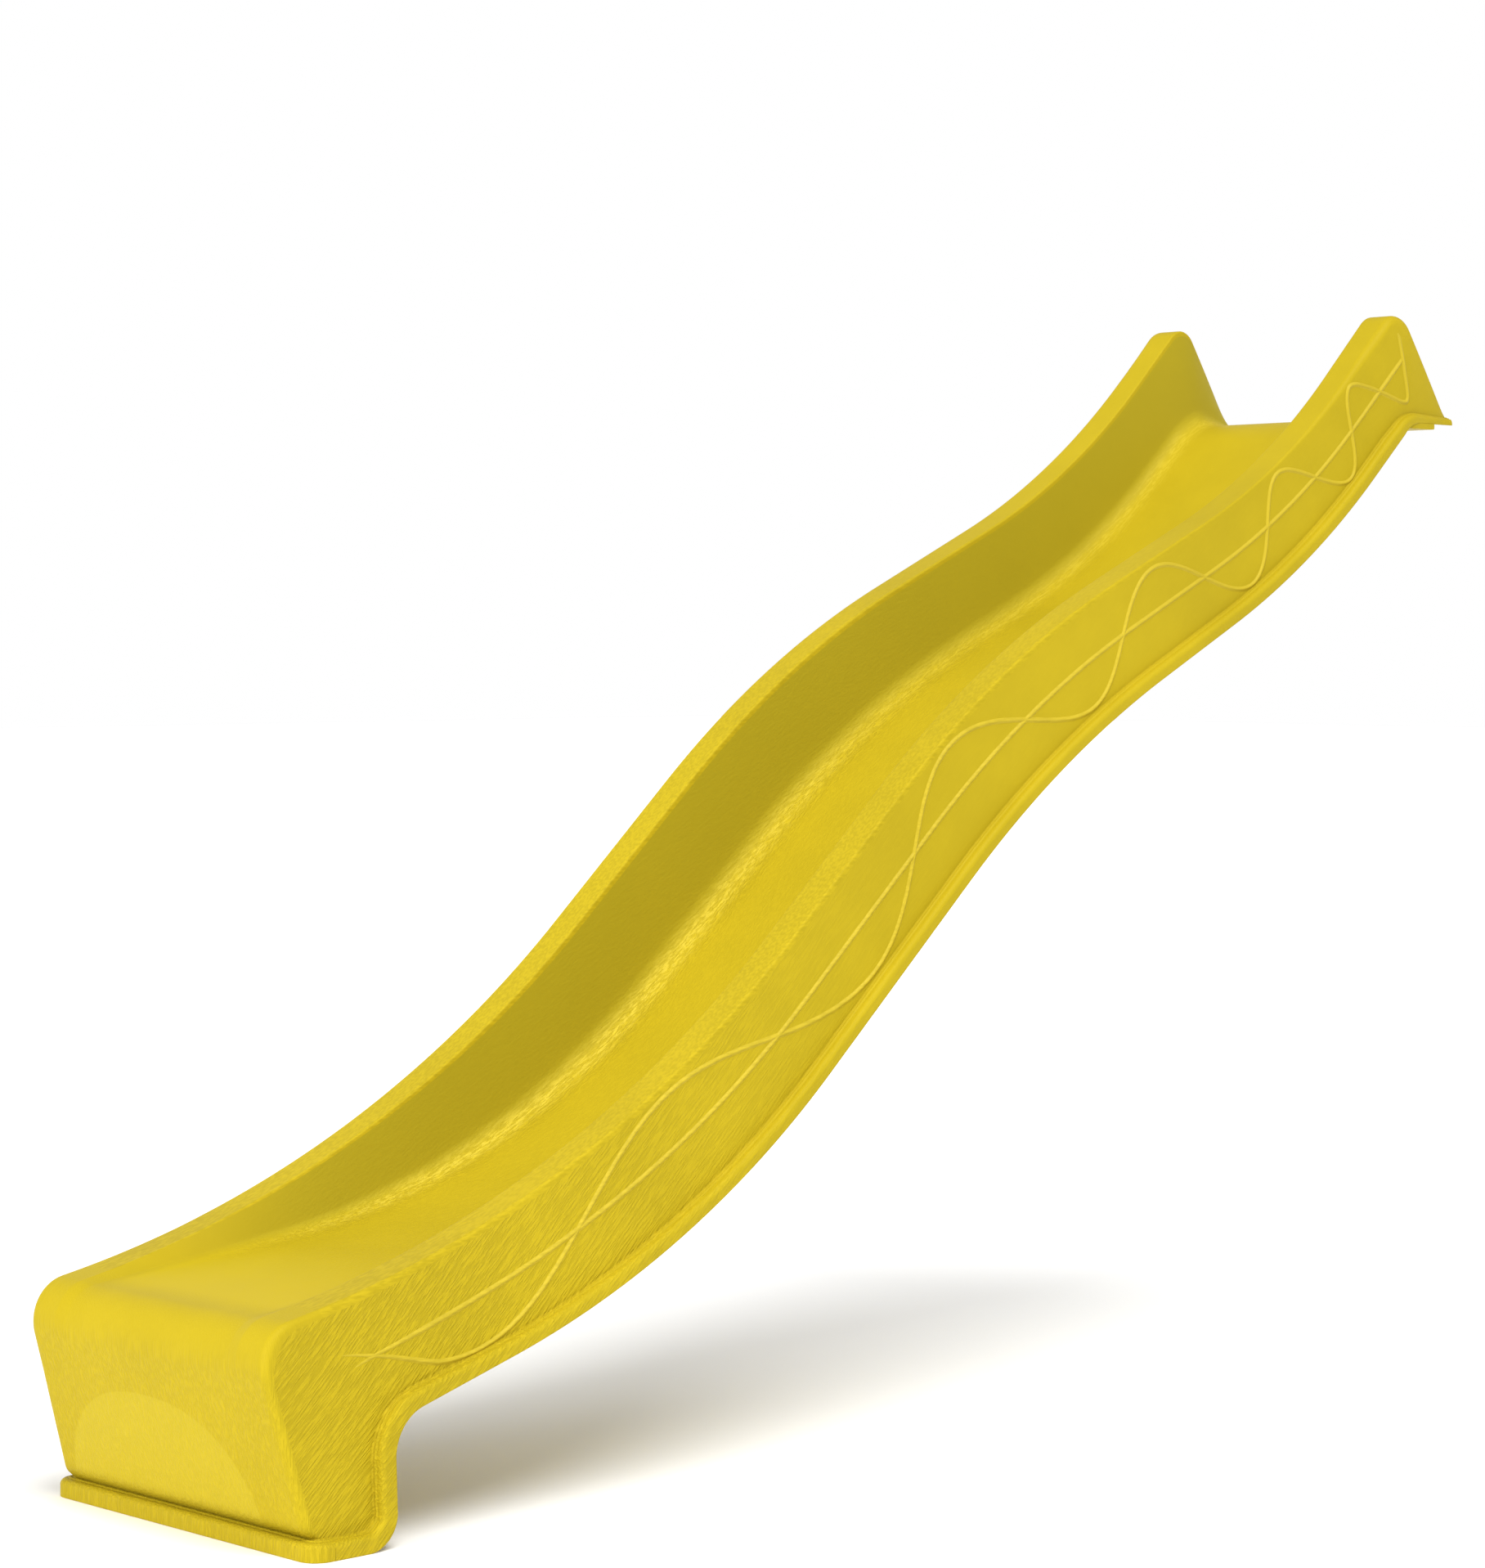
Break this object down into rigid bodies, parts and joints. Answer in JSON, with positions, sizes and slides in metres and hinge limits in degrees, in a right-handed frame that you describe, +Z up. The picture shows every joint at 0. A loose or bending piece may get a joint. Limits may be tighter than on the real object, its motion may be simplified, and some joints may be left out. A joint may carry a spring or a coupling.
{
  "type": "wave slide",
  "caption": "Wavy playground slide chute with side walls, hand rails, a rolled exit over a low foot and a screw-down lip for a raised platform.",
  "frame": {"origin": "middle of the foot's front face on the ground", "axes": "+X across the width, +Y from the exit towards the platform, +Z up"},
  "size_m": [0.57, 2.3709, 1.6473],
  "materials": {
    "moulded_plastic": "satin, finely brushed"
  },
  "bodies": {
    "root": {"sliding_bed": "moulded_plastic", "exit_panel": "moulded_plastic", "foot_skirt": "moulded_plastic", "platform_lip": "moulded_plastic", "lip_stiffener": "moulded_plastic", "right_inner_wall": "moulded_plastic", "left_inner_wall": "moulded_plastic", "right_hand_rail": "moulded_plastic", "left_hand_rail": "moulded_plastic", "right_outer_wall": "moulded_plastic", "left_outer_wall": "moulded_plastic", "right_skirt": "moulded_plastic", "left_skirt": "moulded_plastic", "right_wall_webs": "moulded_plastic", "left_wall_webs": "moulded_plastic", "bed_ribs": "moulded_plastic", "right_wave_line": "moulded_plastic", "left_wave_line": "moulded_plastic"}
  },
  "joints": []
}
